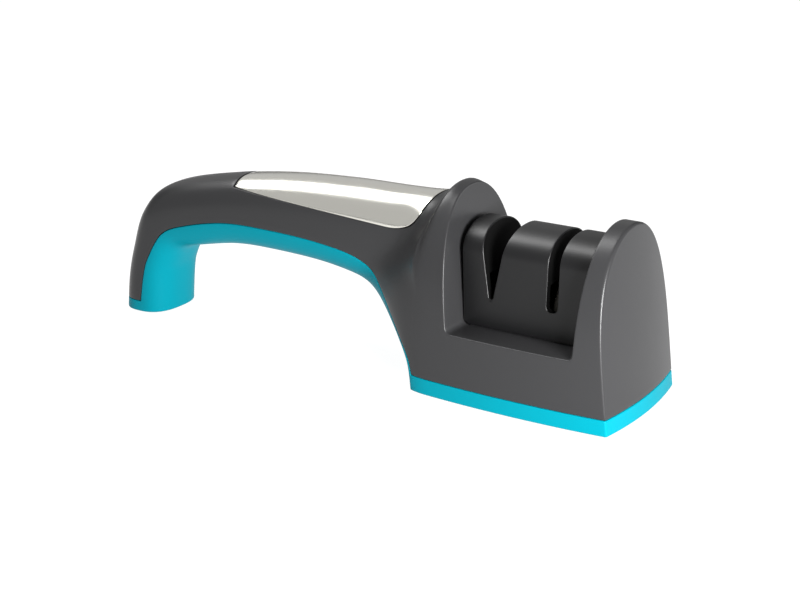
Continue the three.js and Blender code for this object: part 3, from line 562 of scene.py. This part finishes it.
def add(material, kind, links=(), feeds=(), **settings):
    """Add a node with its settings. links bring outputs to its inputs, and feeds take its outputs on."""
    tree = material.node_tree
    node = tree.nodes.new(kind)
    for name, value in settings.items():
        if hasattr(node, name):
            setattr(node, name, value)
        else:
            node.inputs[socket(name)].default_value = value
    for name, output in links:
        tree.links.new(output, node.inputs[name])
    for name, target in feeds:
        tree.links.new(node.outputs[name], target)
    return node


def finish(name, colour, roughness, **settings):
    """A material with its shader, and the place on the piece in metres."""
    material = bpy.data.materials.new(name)
    material.use_nodes = True
    shader = material.node_tree.nodes["Principled BSDF"]
    shader.inputs["Base Color"].default_value = linear(colour)
    shader.inputs["Roughness"].default_value = roughness
    for word, value in settings.items():
        shader.inputs[socket(word)].default_value = value
    place = add(material, "ShaderNodeTexCoord")
    return material, shader.inputs, place.outputs["Object"]


def per_mm(size):
    """Noise scale, in metres, for a pattern of a size in millimetres."""
    return 1000 / size


def moulded(name, colour, roughness, grain=0.35, depth=0.012, sheen=0.5):
    """ABS or rubber from a spark-eroded mould: even colour, and a fine grain that softens every highlight."""
    material, shader, place = finish(name, colour, roughness, ior=IOR_ABS, specular_ior_level=sheen)
    # The real grain is about 0.05 mm; it is drawn coarser so that it shows.
    fine = add(material, "ShaderNodeTexNoise", [("Vector", place)], scale=per_mm(grain), detail=3)
    add(material, "ShaderNodeBump", [("Height", fine.outputs["Fac"])], [("Normal", shader["Normal"])],
        strength=0.25, distance=depth / 1000)
    patches = add(material, "ShaderNodeTexNoise", [("Vector", place)], scale=per_mm(GLOSS_PATCH), detail=2)
    add(material, "ShaderNodeMapRange", [("Value", patches.outputs["Fac"])],
        [("Result", shader["Roughness"])], to_min=roughness - 0.03, to_max=roughness + 0.03)
    return material


def brushed_stainless(name, colour, roughness):
    """Stainless sheet brushed along the handle: bright, with long fine scratches that spread highlights."""
    material, shader, place = finish(name, colour, roughness, metallic=1)
    # The real scratches are finer than the render shows.
    stretched = (per_mm(SCRATCH_LENGTH), per_mm(SCRATCH_SPACING), per_mm(SCRATCH_SPACING))
    stretch = add(material, "ShaderNodeMapping", [("Vector", place)], scale=stretched)
    lines = add(material, "ShaderNodeTexNoise", [("Vector", stretch.outputs["Vector"])], scale=1, detail=3)
    add(material, "ShaderNodeMapRange", [("Value", lines.outputs["Fac"])], [("Result", shader["Roughness"])],
        from_min=0.3, from_max=0.7, to_min=roughness - 0.05, to_max=roughness + 0.07)
    add(material, "ShaderNodeBump", [("Height", lines.outputs["Fac"])], [("Normal", shader["Normal"])],
        strength=0.12, distance=SCRATCH_DEPTH / 1000)
    return material


def turned_metal(name, colour, roughness):
    """Bar metal turned on a lathe: bright, with a faint roughness that changes in patches."""
    material, shader, place = finish(name, colour, roughness, metallic=1)
    marks = add(material, "ShaderNodeTexNoise", [("Vector", place)], scale=per_mm(LATHE_MARK), detail=4)
    add(material, "ShaderNodeMapRange", [("Value", marks.outputs["Fac"])], [("Result", shader["Roughness"])],
        to_min=roughness - 0.08, to_max=roughness + 0.1)
    return material


def bonded_grit(name, dark, light, grit):
    """Abrasive grains in a metal bond: dull and speckled, with grains standing out of it."""
    material, shader, place = finish(name, dark, 0.7, metallic=0.35)
    grains = add(material, "ShaderNodeTexVoronoi", [("Vector", place)], scale=per_mm(grit))
    add(material, "ShaderNodeMix", [("Factor", grains.outputs["Distance"])],
        [("Result", shader["Base Color"])], data_type="RGBA", a=linear(light), b=linear(dark))
    add(material, "ShaderNodeBump", [("Height", grains.outputs["Distance"])], [("Normal", shader["Normal"])],
        strength=0.6, distance=GRAIN_RELIEF * grit / 1000)
    return material


# The shells and the cover are satin ABS. The slots' walls are duller and coarser: tool marks in black ABS.
anthracite_abs = moulded("anthracite_satin_abs", "#272728", 0.34, sheen=0.22)
teal_abs = moulded("teal_satin_abs", "#007280", 0.4, sheen=0.04)
black_abs = moulded("black_satin_abs", "#040405", 0.42, sheen=0.37)
rough_black_abs = moulded("black_rough_abs", "#050505", 0.7, grain=0.6, depth=0.05, sheen=0.05)
stainless = brushed_stainless("brushed_stainless_sheet", "#e9e7df", 0.17)
axle_steel = turned_metal("turned_steel", "#bdbbb7", 0.3)
zinc_steel = turned_metal("zinc_plated_steel", "#a3a4a8", 0.38)
bush_brass = turned_metal("turned_brass", "#b99a5a", 0.32)
coarse_grit = bonded_grit("coarse_bonded_grit", "#35332f", "#6b6862", 0.35)
fine_grit = bonded_grit("fine_bonded_grit", "#45443f", "#77746c", 0.22)
rubber = moulded("moulded_pad_rubber", "#19191a", 0.8, grain=0.5, depth=0.03)

# Finishes of the solids that the scene shows as they are
FINISHES = {
    "black_plastic": black_abs,
    "turned_steel": axle_steel,
    "screw_steel": zinc_steel,
    "bearing_brass": bush_brass,
    "coarse_grit": coarse_grit,
    "fine_grit": fine_grit,
    "pad_rubber": rubber,
}


# The two shells and the plate

floor_level = SADDLE_FLOOR + SADDLE_FILLET - base  # where the towers' sides start, above the base


def plate_edge(grown, rear_gap=0, front_gap=0):
    """Sections and shares along the plate's lower and front edges, from its rear to the crest."""
    front = plate_front + grown - front_gap
    low, high = PLATE_FRONT_LOW - grown, PLATE_REAR_LOW - grown
    rear = plate_rear - grown + rear_gap

    def front_at(z):
        return front - PLATE_FRONT_LEAN * (GRIP_TOP - z)

    corner = front_at(low)
    slope = (high - low) / (corner - rear)
    start = (corner - PLATE_CORNER_RUN, low + slope * PLATE_CORNER_RUN)
    turn = (front_at(low + PLATE_CORNER_RISE), low + PLATE_CORNER_RISE)
    along = mix(np.array([rear, high]), np.array(start), np.linspace(0, 1, PLATE_SIDE_STEPS + 1)[:-1, None])
    bend = bezier(start, (corner, low), turn, PLATE_CORNER_STEPS)
    x, z = top_line(SCAN).T
    crest = np.flatnonzero(x < front_at(z))[-1]
    ease = 1 - (1 - np.linspace(0, 1, PLATE_FRONT_STEPS + 1)[1:-1]) ** GRIP_FULLNESS
    heights = mix(turn[1], z[crest], ease)
    rise = np.stack([front_at(heights), heights], axis=1)
    at, share = section_through(np.vstack([along, bend, rise]))
    return np.append(at, SCAN[crest]), np.append(np.minimum(share, 1), 1)


def saddle_edge():
    """Near edge of the saddle's floor in side view, from the rear face to the end face."""
    low, high = SADDLE_FLOOR - SADDLE_EDGE, SADDLE_FLOOR + SADDLE_FILLET
    turn = SADDLE_EDGE + SADDLE_FILLET

    def rear_at(z):
        return saddle_rear - SADDLE_EDGE - REAR_LEAN * (z - SADDLE_FLOOR)

    def end_at(z):
        return saddle_end + SADDLE_EDGE + END_INNER_LEAN * (z - SADDLE_FLOOR)

    rear = bezier((rear_at(high), high), (rear_at(low), low), (rear_at(low) + turn, low), FILLET_STEPS)
    end = bezier((end_at(low) - turn, low), (end_at(low), low), (end_at(high), high), FILLET_STEPS)
    floor = mix(rear[-1], end[0], np.linspace(0, 1, SADDLE_STEPS)[1:-1, None])
    return np.vstack([rear, floor, end])


def head_wall(foot, top, heights):
    """Rows of the head's near side between points of two lines of the side view."""
    steps = np.linspace(0, 1, LOW_ROWS + 1)[None, :, None]
    x, z = np.moveaxis(mix(foot[:, None], top[:, None], steps), 2, 0)
    half = half_width(x, z, np.full_like(x, 0.5), np.broadcast_to(heights[:, None], x.shape))
    return np.stack([x, -half, z], axis=2)


def rounded_end(ring, before):
    """Rows round the edge of the head's bowed end face; ring runs up it."""
    rows, _ = rounded(ring, before, end_rounding(ring[:, 2:]), END_STEPS)
    settle = bow_at(rows[-1][:, 1]) - bow_at(ring[:, 1])
    rows[:, :, 0] += np.linspace(0, 1, len(rows))[:, None] ** 2 * settle
    return rows


def bowed_face(near):
    """The end face across from the near rows to the far rows."""
    face = right_across(near)
    face[..., 0] += bow_at(face[..., 1]) - bow_at(near[:, None, 1])
    return face


def low_and_high(at, low, bend, top):
    """Rows up sections: LOW_ROWS of them to a bend, and HIGH_ROWS from there."""
    return np.concatenate([climb(at, low, bend, LOW_ROWS), climb(at, bend, top, HIGH_ROWS)[:, 1:]], axis=1)


def grip_and_rear_tower(gap):
    """The near side as far as the saddle, below the plate, and the crown behind the plate."""
    edge_at, edge_share = plate_edge(gap)
    back_at = np.linspace(at_height(GREY_END) + gap / FOOT_STRAIGHT, edge_at[0], BACK_COLUMNS + 1)
    tower_at = np.linspace(edge_at[-1], REAR_FACE, TOWER_COLUMNS + 1)
    at = np.concatenate([back_at, edge_at[1:], tower_at[1:]])
    top = np.concatenate([np.full(BACK_COLUMNS, edge_share[0]), edge_share, np.ones(TOWER_COLUMNS)])
    low = split(at, gap)
    floor_share = floor_level / (rear_face[1][1] - base)
    bend = low + (top - low) * (floor_share - low[-1]) / (1 - low[-1])
    return low_and_high(at, low, bend, top), climb(back_at, edge_share[0], 1, CROWN_ROWS)


def end_tower_side(gap):
    """The near side of the end tower."""
    at = np.linspace(END_FACE, END, END_COLUMNS + 1)
    bend = floor_level / (top_line(at)[:, 1] - base)
    return low_and_high(at, split(at, gap), bend, 1)


def saddle_wall(rear, end):
    """The near side below the saddle, between the columns of two towers that it joins."""
    edge = saddle_edge()
    along = (edge[:, 0] - edge[0, 0]) / (edge[-1, 0] - edge[0, 0])
    foot = mix(rear[0], end[0], along[:, None])[:, [0, 2]]
    wall = head_wall(foot, edge, mix(rear_face[1][1], end_face[1][1], along))
    wall[0], wall[-1] = rear[:LOW_ROWS + 1], end[:LOW_ROWS + 1]
    return wall


def upper_housing():
    """The grey moulding: grip, both towers and the saddle between them."""
    shell = Moulding()
    gap = SEAM + SEAM_EDGE
    sides, crown = grip_and_rear_tower(gap)
    end_tower = end_tower_side(gap)
    wall = saddle_wall(sides[-1], end_tower[0])
    for rows in (sides, crown, wall, end_tower):
        shell.both_sides(rows)

    def saddle_line(beside):
        down = sides[-1 - beside][:LOW_ROWS - 1:-1]
        return np.vstack([down, wall[1:-1, -1 - beside], end_tower[beside, LOW_ROWS:]])

    saddle = cut_edge(saddle_line(0), saddle_line(1), SADDLE_EDGE)
    shell.both_sides(saddle)
    shell.grid(right_across(saddle[-1]))

    end = rounded_end(over_crest(end_tower[-1]), over_crest(end_tower[-2]))
    shell.grid(end)
    face = bowed_face(end[-1][:end_tower.shape[1]])
    shell.grid(face)

    def around(row):
        path = np.vstack([sides[:, row], wall[1:, row], end_tower[1:, row], end[1:, row]])
        return np.vstack([path, face[row, 1:-1], mirrored(path)[::-1]])

    shell.grid(lip(around(0), around(1)))
    behind = np.concatenate([sides[:len(crown)], crown[:, 1:]], axis=1)
    plate_rim, beside_rim = (skin(*plate_edge(grown)) for grown in (gap, gap + BESIDE))
    for edge, before in ((behind[0], behind[1]), (plate_rim, beside_rim), (crown[-1], crown[-2])):
        shell.grid(lip(over_crest(edge), over_crest(before)))
    return shell.build("grey_housing", anthracite_abs)


def steel_plate():
    """The brushed sheet along the top of the grip, flush with the moulding."""
    sheet = Moulding()
    at, share = plate_edge(0, PLATE_REAR_GAP, PLATE_FRONT_GAP)
    rows = climb(at, share, 1, CROWN_ROWS)
    sheet.both_sides(rows)
    within = skin(*plate_edge(-BESIDE, PLATE_REAR_GAP, PLATE_FRONT_GAP))
    for edge, before in ((rows[:, 0], within), (rows[0], rows[1])):
        sheet.grid(turned_in(over_crest(edge), over_crest(before), PLATE_EDGE, PLATE_THICKNESS))
    return sheet.build("steel_plate", stainless)


def add_foot(shell, at, share):
    """The lowest part of the foot, teal all round: two grids that meet at a share of the way up sections."""
    inner, back = climb(at, share, 0, LOW_ROWS), climb(at, share, 1, HIGH_ROWS)
    shell.both_sides(inner)
    shell.both_sides(back)
    whole = np.concatenate([inner[:, ::-1], back[:, 1:]], axis=1)
    loop, beside = over_crest(whole[0])[:-1], over_crest(whole[1])[:-1]
    under, _ = rounded(loop, beside, FOOT_EDGE, EDGE_STEPS, closed=True)
    under = np.concatenate([under, under[:, :1]], axis=1)
    under[-1, :, 2] = base
    shell.grid(under)
    shell.grid(right_across(under[-1][:whole.shape[1]]))
    shell.grid(lip(over_crest(back[-1]), over_crest(back[-2])))


def add_head_sole(shell, outline):
    """The flat sole under the head, with a well round each screw."""
    sole = outline * (1, 1, 0) + (0, 0, base)
    back = right_across(sole[:1])[0, 1:-1][::-1]
    turn = np.linspace(0, 2 * np.pi, WELL_SIDES + 1)[:-1]
    wells = []
    for number in (1, 2, 3, 4):
        lowest, highest = (1000 * np.array(corner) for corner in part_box(f"head_screw_{number}"))
        x, y, _ = (lowest + highest) / 2 - (to_frame, 0, 0)
        ring = np.stack([x + SCREW_WELL * np.cos(turn), y + SCREW_WELL * np.sin(turn),
                         np.full(WELL_SIDES, base)], axis=1)
        wells.append(ring)
        closed = np.vstack([ring, ring[:1]])
        shell.grid([closed, closed + (0, 0, WELL_DEPTH)])
    shell.fill([np.vstack([sole, back])] + wells)


def lower_shell():
    """The teal moulding: foot, finger side of the grip, and the rim under the head."""
    shell = Moulding()
    gap = -SEAM_EDGE
    foot_end = at_height(GREY_END) + gap / FOOT_STRAIGHT
    foot_at = np.linspace(at_height(base + FOOT_EDGE), foot_end, FOOT_COLUMNS)
    arch_at = np.linspace(foot_end, BACK, ARCH_COLUMNS)
    stretches = zip((BACK, REAR_FACE, END_FACE), (REAR_FACE, END_FACE, END), RIM_COLUMNS)
    at = np.concatenate([arch_at] + [np.linspace(*stretch)[1:] for stretch in stretches])
    low, high = under_line(at), top_line(at)
    corner = half_width(low[:, 0], low[:, 1], np.zeros(len(at)), high[:, 1])
    edge = np.minimum(RIM_EDGE, corner)
    side = climb(at, split(at, gap), edge / np.linalg.norm(high - low, axis=1), LOW_ROWS)
    shell.both_sides(side)
    add_foot(shell, foot_at, split(arch_at[:1], gap)[0])
    end = rounded_end(side[-1], side[-2])
    shell.both_sides(end)
    face = bowed_face(end[-1])
    shell.grid(face)

    def around(row):
        path = np.vstack([side[:, row], end[1:, row]])
        return np.vstack([path, face[row, 1:-1], mirrored(path)[::-1]])

    shell.grid(lip(around(0), around(1)))
    near = np.concatenate([edge, np.full(END_STEPS, RIM_EDGE)])
    radius = np.concatenate([near, np.full(ACROSS - 1, RIM_EDGE), near[::-1]])[:, None]
    under, _ = rounded(around(-1), around(-2), radius, EDGE_STEPS)
    shell.grid(under)
    inner = under[-1]
    shell.grid(right_across(inner[:len(arch_at)]))
    add_head_sole(shell, inner[len(arch_at) - 1:len(inner) - len(arch_at) + 1])
    return shell.build("teal_shell", teal_abs)


# The cartridge cover

cover_half = 1000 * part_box("cartridge_cover")[1][1]
wheel_top = 1000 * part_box("coarse_wheel_end")[1][2]
guide_foot = wheel_top + WHEEL_ROOM  # above this the slots' walls go right through
cover_low = SADDLE_FLOOR + COVER_LIFT
cover_rear = saddle_rear + COVER_REAR_GAP
cover_end = saddle_end - COVER_GAP
coarse_x, fine_x = (1000 * joint["pos_m"][0] - to_frame for joint in frame["record"]["behaviour"]["joints"])


def cover_depth(z):
    """How far out the cover's front is at a height."""
    shoulder = cover_half - COVER_DRAFT
    flat = mix(cover_half, shoulder, (z - cover_low) / (COVER_SHOULDER - cover_low))
    rise = np.clip((z - COVER_SHOULDER) / (COVER_TOP - COVER_SHOULDER), 0, 1)
    crown = shoulder * (1 - rise ** COVER_FULLNESS) ** (1 / COVER_FULLNESS)
    return np.where(z < COVER_SHOULDER, flat, crown)


def slot_half(z, low, foot, slope):
    """Half width of a round-bottomed slot at a height, with its edge's rounding."""
    low, foot = low - SLOT_EDGE, foot + SLOT_EDGE
    centre = low + foot
    round_part = np.sqrt(np.maximum(0, foot ** 2 - np.minimum(0, z - centre) ** 2))
    return np.where(z < low, 0, np.where(z < centre, round_part, foot + slope * (z - centre)))


def cover_heights():
    """Heights of the cover's rows: close together where its outline bends."""
    quarter = 1 - np.cos(np.linspace(0, np.pi / 2, COVER_CORNER_ROWS))
    corner = cover_low + COVER_CORNER * quarter
    coarse = COARSE_SLOT_LOW - SLOT_EDGE + (COARSE_SLOT_HALF_FOOT + SLOT_EDGE) * quarter
    fine = FINE_SLOT_LOW - SLOT_EDGE + (FINE_SLOT_HALF + SLOT_EDGE) * quarter
    flat = np.linspace(corner[-1], COVER_SHOULDER, COVER_FLAT_ROWS)
    rise = np.sin(np.linspace(0, np.pi / 2, COVER_CROWN_ROWS))
    crown = COVER_SHOULDER + (COVER_TOP - COVER_SHOULDER) * rise
    return np.unique(np.round(np.concatenate([corner, coarse, fine, flat, crown, [guide_foot]]), 3))


def cover_front():
    """The near side of the cover: the strips beside its slots, and rows round the edge of each slot."""
    z = cover_heights()
    below = np.clip((cover_low + COVER_CORNER - z) / COVER_CORNER, 0, 1)
    corner = COVER_CORNER * (1 - np.sqrt(1 - below ** 2)) + COVER_EDGE
    rear = cover_rear - COVER_REAR_LEAN * (z - SADDLE_FLOOR) + corner
    end = cover_end + COVER_END_LEAN * (z - SADDLE_FLOOR) - corner
    coarse = slot_half(z, COARSE_SLOT_LOW, COARSE_SLOT_HALF_FOOT, COARSE_SLOT_FLARE)
    fine = slot_half(z, FINE_SLOT_LOW, FINE_SLOT_HALF, 0)
    starts = (rear, coarse_x + coarse, fine_x + fine)
    ends = (coarse_x - coarse, fine_x - fine, end)
    strips = []
    for start, stop, count in zip(starts, ends, COVER_COLUMNS):
        x = mix(start[:, None], stop[:, None], np.linspace(0, 1, count + 1))
        depth, height = (np.broadcast_to(value[:, None], x.shape) for value in (cover_depth(z), z))
        strips.append(np.stack([x, -depth, height], axis=2))
    mouths = []
    for before, after, half in ((strips[0], strips[1], coarse), (strips[1], strips[2], fine)):
        lowest = np.flatnonzero(half > 0)[0] - 1
        near = np.vstack([before[:lowest:-1, -1], after[lowest:, 0]])
        beside = np.vstack([before[:lowest:-1, -2], after[lowest:, 1]])
        beside[len(z) - 1 - lowest] = before[lowest - 1, -1]
        mouths.append(cut_edge(near, beside, SLOT_EDGE))
    return strips, mouths


def cartridge_cover():
    """The black cover: round-topped, with a wedge-shaped slot and a straight one cut through it."""
    cover = Moulding()
    strips, mouths = cover_front()
    for rows in strips + mouths:
        cover.both_sides(rows)
    for strip, column, beside in ((strips[0], 0, 1), (strips[2], -1, -2)):
        rows, _ = rounded(over_crest(strip[:, column]), over_crest(strip[:, beside]), COVER_EDGE, EDGE_STEPS)
        cover.grid(rows)
        cover.grid(right_across(rows[-1][:len(strip)]))
    bottom = np.vstack([strips[0][0], strips[1][0, 1:], strips[2][0, 1:]])
    cover.both_sides([bottom, bottom + (0, COVER_WALL, 0)])
    return cover.build("slotted_cover", black_abs)


def slot_walls():
    """The sides of the slots: right through above the wheels, a wall thick beside them."""
    walls = Moulding()
    _, mouths = cover_front()
    for rows in mouths:
        inner = rows[-1]
        beside_wheels = np.flatnonzero(rows[0][:, 2] < guide_foot - SLACK)
        first, last = beside_wheels[[0, -1]]
        for part in (inner[:first], inner[last + 1:]):
            walls.grid(right_across(part))
        thin = inner[first - 1:last + 2]
        walls.both_sides([thin, thin + (0, COVER_WALL, 0)])
    return walls.build("slot_walls", rough_black_abs)


# Assembly

for slot, material in FINISHES.items():
    for entry in frame["record"]["subparts"]:
        if entry["material_slot"] == slot:
            node = frame["nodes"][entry["node"]]
            node.data.materials.clear()
            node.data.materials.append(material)

for make, node, slot in ((upper_housing, "upper_housing", "anthracite_plastic"),
                         (lower_shell, "lower_shell", "teal_plastic"),
                         (steel_plate, "handle_plate", "brushed_plate"),
                         (cartridge_cover, "cartridge_cover", "black_plastic"),
                         (slot_walls, "cartridge_cover", "black_plastic")):
    piece = make()
    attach(piece, "housing")
    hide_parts(node)


# Floor, light and camera. Floor and lights are in metres and watts, in the frame.

FLOOR_HALF = 3.0
FLOOR_GLOW = 0.95
ROOM_GLOW = 0.15
CAMERA_FOCAL = 72.0  # millimetres
SENSOR_WIDTH = 36
CAMERA_PLACE = (181.45, -427.0, 195.6)  # millimetres, from the end of the head at its base
CAMERA_TURN, CAMERA_TILT = 32.31, 19.15  # degrees round from -y, and down
CLIP_START = 0.01


def floor():
    """A white floor that glows, as a light table does."""
    mesh = bpy.data.meshes.new("pale_floor")
    corners = [(x * FLOOR_HALF, y * FLOOR_HALF, 0) for x, y in ((-1, -1), (1, -1), (1, 1), (-1, 1))]
    mesh.from_pydata(corners, [], [range(len(corners))])
    ground = bpy.data.objects.new("pale_floor", mesh)
    bpy.context.scene.collection.objects.link(ground)
    white = linear("#ffffff")
    material, _, _ = finish("pale_floor", "#5a5a5a", 0.9, emission_color=white, emission_strength=FLOOR_GLOW)
    mesh.materials.append(material)


def softbox(name, place, towards, size, power):
    """A rectangular light that shines towards a point."""
    data = bpy.data.lights.new(name, "AREA")
    data.shape = "RECTANGLE"
    data.size, data.size_y = size
    data.energy = power
    light = bpy.data.objects.new(name, data)
    light.location = place
    light.rotation_euler = (Vector(towards) - Vector(place)).to_track_quat("-Z", "Y").to_euler()
    bpy.context.scene.collection.objects.link(light)


def studio():
    """A dim white room: two boxes above draw the highlights, with one at the right and two wide panels."""
    scene = bpy.context.scene
    scene.view_settings.view_transform = "Standard"
    world = bpy.data.worlds.new("white_room")
    world.use_nodes = True
    room = world.node_tree.nodes["Background"].inputs
    room["Color"].default_value = linear("#ffffff")
    room["Strength"].default_value = ROOM_GLOW
    scene.world = world
    softbox("overhead_softbox", place=(-0.5, 0.04, 0.66), towards=(-0.5, 0.04, 0),
            size=(0.7, 0.64), power=1.9)
    softbox("crown_softbox", place=(-0.32, 0.03, 0.675), towards=(0.06, 0, 0.06),
            size=(0.24, 0.5), power=4.3)
    softbox("right_softbox", place=(0.32, -0.19, 0.09), towards=(0.07, 0, 0.03),
            size=(0.14, 0.12), power=4.2)
    softbox("left_panel", place=(-0.5, -0.6, 0.52), towards=(0.02, 0, 0.04),
            size=(1.4, 1.0), power=1.75)
    softbox("back_panel", place=(-0.42, 0.5, 0.5), towards=(0.03, 0, 0.05),
            size=(0.8, 0.8), power=0.8)


def camera():
    """The place from which the photograph was taken."""
    data = bpy.data.cameras.new("photo_camera")
    data.lens, data.sensor_width = CAMERA_FOCAL, SENSOR_WIDTH
    data.clip_start = CLIP_START
    view = bpy.data.objects.new("photo_camera", data)
    turn = Matrix.Rotation(math.radians(CAMERA_TURN), 4, "Z")
    tilt = Matrix.Rotation(math.radians(90 - CAMERA_TILT), 4, "X")
    place = (Vector(CAMERA_PLACE) + Vector((to_frame, 0, 0))) / 1000
    view.matrix_world = Matrix.Translation(place) @ turn @ tilt
    bpy.context.scene.collection.objects.link(view)
    bpy.context.scene.camera = view


floor()
studio()
camera()
